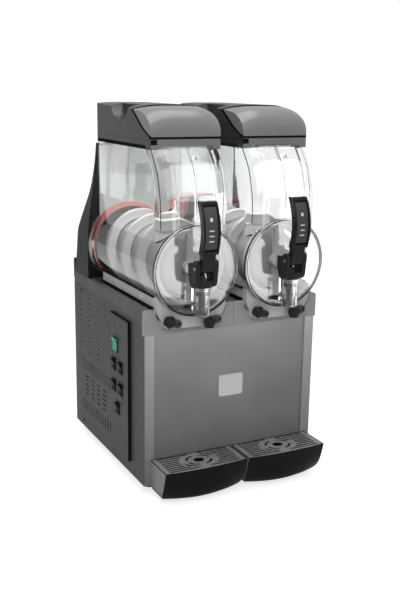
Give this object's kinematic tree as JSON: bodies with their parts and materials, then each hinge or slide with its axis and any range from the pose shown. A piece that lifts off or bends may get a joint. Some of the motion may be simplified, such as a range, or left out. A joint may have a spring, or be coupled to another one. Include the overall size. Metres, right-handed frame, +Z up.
{
  "type": "slush machine",
  "caption": "Countertop slush dispenser: clear bowls with augers over a black cabinet, lever taps, drip trays and side switches.",
  "frame": {"origin": "under the middle of the bounding box, on the worktop", "axes": "+X to the machine's right as seen from the front, -Y towards the user, +Z up"},
  "size_m": [0.41, 0.514, 0.775],
  "materials": {
    "black_paint": "satin powder coat",
    "grey_metal": "zinc plated",
    "grey_trim": "satin moulded",
    "black_plastic": "moulded",
    "lid_plastic": "satin moulded",
    "gloss_black": "polished",
    "tray_plastic": "polished",
    "grille_plastic": "satin",
    "badge_metal": "brushed, blank",
    "black_rubber": "matt",
    "red_rubber": "silicone",
    "green_lens": "translucent lens",
    "compressor_paint": "black enamel",
    "condenser_fins": "finned",
    "clear_plastic": "clear moulded polycarbonate",
    "stainless_steel": "polished stainless",
    "white_plastic": "food-grade moulded"
  },
  "bodies": {
    "cabinet": {"base_pan": "grey_metal", "side_panel_left": "black_paint", "side_panel_right": "black_paint", "front_panel": "black_paint", "back_panel": "black_paint", "top_deck": "black_paint", "apron_left": "grey_trim", "apron_right": "grey_trim", "rear_housing": "black_plastic", "light_panel": "white_plastic", "badge_plate": "badge_metal", "foot_front_left": "black_rubber", "foot_front_right": "black_rubber", "foot_rear_left": "black_rubber", "foot_rear_right": "black_rubber", "control_plate": "black_paint", "switch_box": "black_plastic", "power_inlet": "black_plastic", "compressor": "compressor_paint", "condenser": "condenser_fins", "fan_motor": "grey_metal", "bowl_left": "clear_plastic", "evaporator_left": "stainless_steel", "gasket_left": "red_rubber", "gearmotor_left": "grey_metal", "tap_body_left": "black_plastic", "handle_pin_left": "stainless_steel", "tap_spring_left": "stainless_steel", "bowl_right": "clear_plastic", "evaporator_right": "stainless_steel", "gasket_right": "red_rubber", "gearmotor_right": "grey_metal", "tap_body_right": "black_plastic", "handle_pin_right": "stainless_steel", "tap_spring_right": "stainless_steel"},
    "fan": {"fan_blade": "grey_metal"},
    "power_rocker": {"power_rocker": "green_lens"},
    "mode_rocker_left": {"mode_rocker_left": "gloss_black"},
    "mode_rocker_right": {"mode_rocker_right": "gloss_black"},
    "mixer_rocker_left": {"mixer_rocker_left": "gloss_black"},
    "mixer_rocker_right": {"mixer_rocker_right": "gloss_black"},
    "light_rocker": {"light_rocker": "gloss_black"},
    "mixer_left": {"auger_left": "white_plastic", "drive_shaft_left": "stainless_steel"},
    "lid_left": {"lid_left": "lid_plastic"},
    "handle_left": {"tap_handle_left": "gloss_black"},
    "piston_left": {"tap_piston_left": "black_plastic"},
    "latch_outer_left": {"latch_outer_left": "black_plastic"},
    "latch_inner_left": {"latch_inner_left": "black_plastic"},
    "tray_left": {"drip_tray_left": "tray_plastic"},
    "grille_left": {"tray_grille_left": "grille_plastic"},
    "mixer_right": {"auger_right": "white_plastic", "drive_shaft_right": "stainless_steel"},
    "lid_right": {"lid_right": "lid_plastic"},
    "handle_right": {"tap_handle_right": "gloss_black"},
    "piston_right": {"tap_piston_right": "black_plastic"},
    "latch_outer_right": {"latch_outer_right": "black_plastic"},
    "latch_inner_right": {"latch_inner_right": "black_plastic"},
    "tray_right": {"drip_tray_right": "tray_plastic"},
    "grille_right": {"tray_grille_right": "grille_plastic"}
  },
  "joints": [
    {"name": "power_rocker_tilt", "type": "hinge", "parent": "cabinet", "child": "power_rocker", "pos_m": [-0.1983, -0.028, 0.286], "axis": [0, 1, 0], "range_deg": [0, 16]},
    {"name": "mode_rocker_left_tilt", "type": "hinge", "parent": "cabinet", "child": "mode_rocker_left", "pos_m": [-0.1983, -0.018, 0.241], "axis": [0, 1, 0], "range_deg": [0, 16]},
    {"name": "mode_rocker_right_tilt", "type": "hinge", "parent": "cabinet", "child": "mode_rocker_right", "pos_m": [-0.1983, -0.055, 0.241], "axis": [0, 1, 0], "range_deg": [0, 16]},
    {"name": "mixer_rocker_left_tilt", "type": "hinge", "parent": "cabinet", "child": "mixer_rocker_left", "pos_m": [-0.1983, -0.018, 0.194], "axis": [0, 1, 0], "range_deg": [0, 16]},
    {"name": "mixer_rocker_right_tilt", "type": "hinge", "parent": "cabinet", "child": "mixer_rocker_right", "pos_m": [-0.1983, -0.055, 0.194], "axis": [0, 1, 0], "range_deg": [0, 16]},
    {"name": "light_rocker_tilt", "type": "hinge", "parent": "cabinet", "child": "light_rocker", "pos_m": [-0.1983, -0.038, 0.148], "axis": [0, 1, 0], "range_deg": [0, 16]},
    {"name": "fan_spin", "type": "hinge", "parent": "cabinet", "child": "fan", "pos_m": [-0.01, -0.039, 0.175], "axis": [0, 1, 0], "continuous": true},
    {"name": "auger_spin_left", "type": "hinge", "parent": "cabinet", "child": "mixer_left", "pos_m": [-0.0942, -0.165, 0.4654], "axis": [0, 1, 0], "continuous": true},
    {"name": "lid_lift_left", "type": "slide", "parent": "cabinet", "child": "lid_left", "axis": [0, 0, 1], "range_m": [0, 0.12]},
    {"name": "tap_pull_left", "type": "hinge", "parent": "cabinet", "child": "handle_left", "pos_m": [-0.0942, -0.231, 0.477], "axis": [1, 0, 0], "range_deg": [0, 45], "stiffness_Nm_per_rad": 0.25, "springref_deg": -28.65},
    {"name": "piston_lift_left", "type": "slide", "parent": "cabinet", "child": "piston_left", "axis": [0, 0, 1], "range_m": [0, 0.014], "deforming": ["tap_spring_left"]},
    {"name": "latch_turn_outer_left", "type": "hinge", "parent": "cabinet", "child": "latch_outer_left", "pos_m": [-0.1472, -0.181, 0.366], "axis": [0, 1, 0], "range_deg": [0, 90]},
    {"name": "latch_turn_inner_left", "type": "hinge", "parent": "cabinet", "child": "latch_inner_left", "pos_m": [-0.0602, -0.181, 0.356], "axis": [0, 1, 0], "range_deg": [0, 90]},
    {"name": "tray_slide_left", "type": "slide", "parent": "cabinet", "child": "tray_left", "axis": [0, -1, 0], "range_m": [0, 0.1]},
    {"name": "grille_lift_left", "type": "slide", "parent": "tray_left", "child": "grille_left", "axis": [0, 0, 1], "range_m": [0, 0.06]},
    {"name": "auger_spin_right", "type": "hinge", "parent": "cabinet", "child": "mixer_right", "pos_m": [0.1042, -0.165, 0.4654], "axis": [0, 1, 0], "continuous": true},
    {"name": "lid_lift_right", "type": "slide", "parent": "cabinet", "child": "lid_right", "axis": [0, 0, 1], "range_m": [0, 0.12]},
    {"name": "tap_pull_right", "type": "hinge", "parent": "cabinet", "child": "handle_right", "pos_m": [0.1042, -0.231, 0.477], "axis": [1, 0, 0], "range_deg": [0, 45], "stiffness_Nm_per_rad": 0.25, "springref_deg": -28.65},
    {"name": "piston_lift_right", "type": "slide", "parent": "cabinet", "child": "piston_right", "axis": [0, 0, 1], "range_m": [0, 0.014], "deforming": ["tap_spring_right"]},
    {"name": "latch_turn_outer_right", "type": "hinge", "parent": "cabinet", "child": "latch_outer_right", "pos_m": [0.0512, -0.181, 0.366], "axis": [0, 1, 0], "range_deg": [0, 90]},
    {"name": "latch_turn_inner_right", "type": "hinge", "parent": "cabinet", "child": "latch_inner_right", "pos_m": [0.1382, -0.181, 0.356], "axis": [0, 1, 0], "range_deg": [0, 90]},
    {"name": "tray_slide_right", "type": "slide", "parent": "cabinet", "child": "tray_right", "axis": [0, -1, 0], "range_m": [0, 0.1]},
    {"name": "grille_lift_right", "type": "slide", "parent": "tray_right", "child": "grille_right", "axis": [0, 0, 1], "range_m": [0, 0.06]}
  ],
  "couplings": [
    {"joint": "piston_lift_left", "follows": "tap_pull_left", "m_per_rad": 0.0172},
    {"joint": "piston_lift_right", "follows": "tap_pull_right", "m_per_rad": 0.0172}
  ]
}
